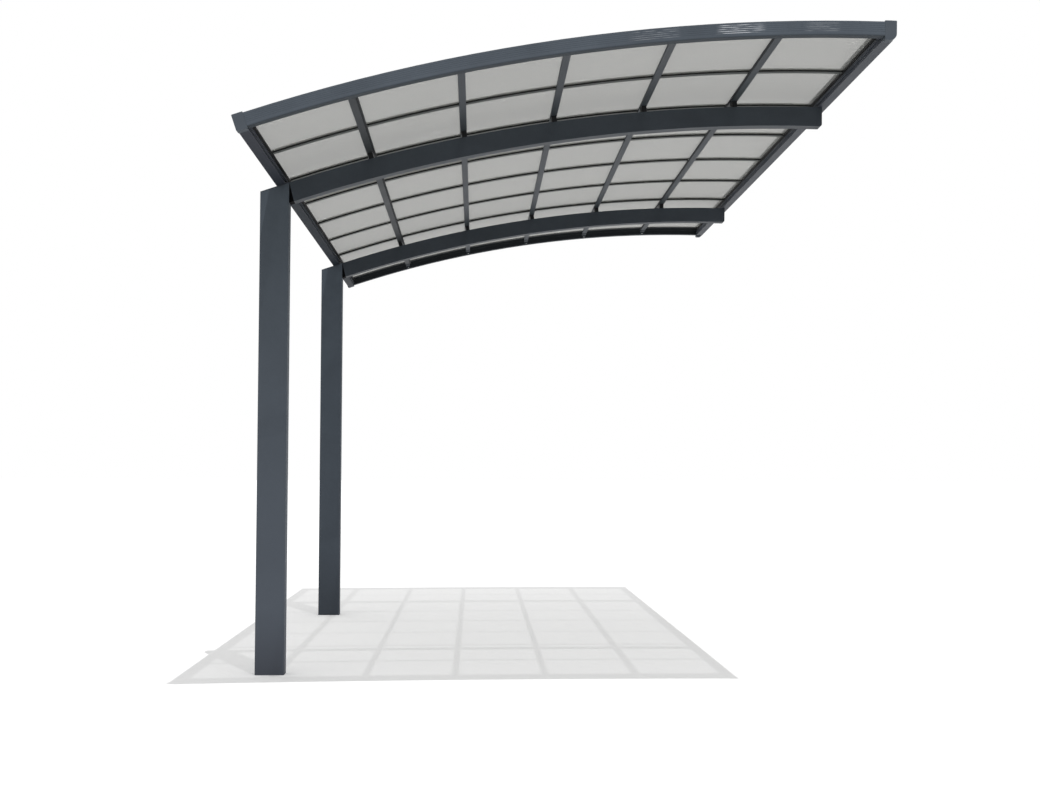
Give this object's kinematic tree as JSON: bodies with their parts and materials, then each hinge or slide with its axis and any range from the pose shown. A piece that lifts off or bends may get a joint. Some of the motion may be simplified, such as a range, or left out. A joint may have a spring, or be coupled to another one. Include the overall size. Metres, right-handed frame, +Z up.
{
  "type": "carport",
  "caption": "Cantilever carport: posts along one side carry bent beams and a curved roof of translucent panels on purlins and rafters, framed by gutter, fascia and grooved verges.",
  "frame": {"origin": "centre of the near post's foot, on the ground", "axes": "+X from the posts across the roof to its open side, +Y along the roof from the near post to the far post, +Z up"},
  "size_m": [2.7609, 5, 2.8234],
  "materials": {
    "post_aluminium": "satin powder coat, dark grey",
    "beam_aluminium": "satin powder coat, charcoal",
    "edge_aluminium": "satin powder coat, grey",
    "purlin_aluminium": "satin powder coat, mid grey",
    "rafter_aluminium": "satin powder coat, charcoal",
    "bracket_steel": "matte black paint",
    "cap_plastic": "moulded, fine matte grain",
    "panel_polycarbonate": "frosted underside, smooth top"
  },
  "bodies": {
    "root": {"near_post": "post_aluminium", "near_post_cap": "cap_plastic", "near_beam": "beam_aluminium", "near_beam_bracket": "bracket_steel", "near_beam_cap": "cap_plastic", "gutter_near_cap": "cap_plastic", "fascia_near_cap": "cap_plastic", "near_verge": "edge_aluminium", "far_post": "post_aluminium", "far_post_cap": "cap_plastic", "far_beam": "beam_aluminium", "far_beam_bracket": "bracket_steel", "far_beam_cap": "cap_plastic", "gutter_far_cap": "cap_plastic", "fascia_far_cap": "cap_plastic", "far_verge": "edge_aluminium", "eave_gutter": "edge_aluminium", "outer_fascia": "edge_aluminium", "purlin_1": "purlin_aluminium", "purlin_2": "purlin_aluminium", "purlin_3": "purlin_aluminium", "purlin_4": "purlin_aluminium", "purlin_5": "purlin_aluminium", "rafter_1": "rafter_aluminium", "rafter_cover_1": "rafter_aluminium", "rafter_2": "rafter_aluminium", "rafter_cover_2": "rafter_aluminium", "rafter_3": "rafter_aluminium", "rafter_cover_3": "rafter_aluminium", "rafter_4": "rafter_aluminium", "rafter_cover_4": "rafter_aluminium", "rafter_5": "rafter_aluminium", "rafter_cover_5": "rafter_aluminium", "rafter_6": "rafter_aluminium", "rafter_cover_6": "rafter_aluminium", "rafter_7": "rafter_aluminium", "rafter_cover_7": "rafter_aluminium", "roof_panel_1": "panel_polycarbonate", "roof_panel_2": "panel_polycarbonate", "roof_panel_3": "panel_polycarbonate", "roof_panel_4": "panel_polycarbonate", "roof_panel_5": "panel_polycarbonate", "roof_panel_6": "panel_polycarbonate", "roof_panel_7": "panel_polycarbonate", "roof_panel_8": "panel_polycarbonate"}
  },
  "joints": []
}
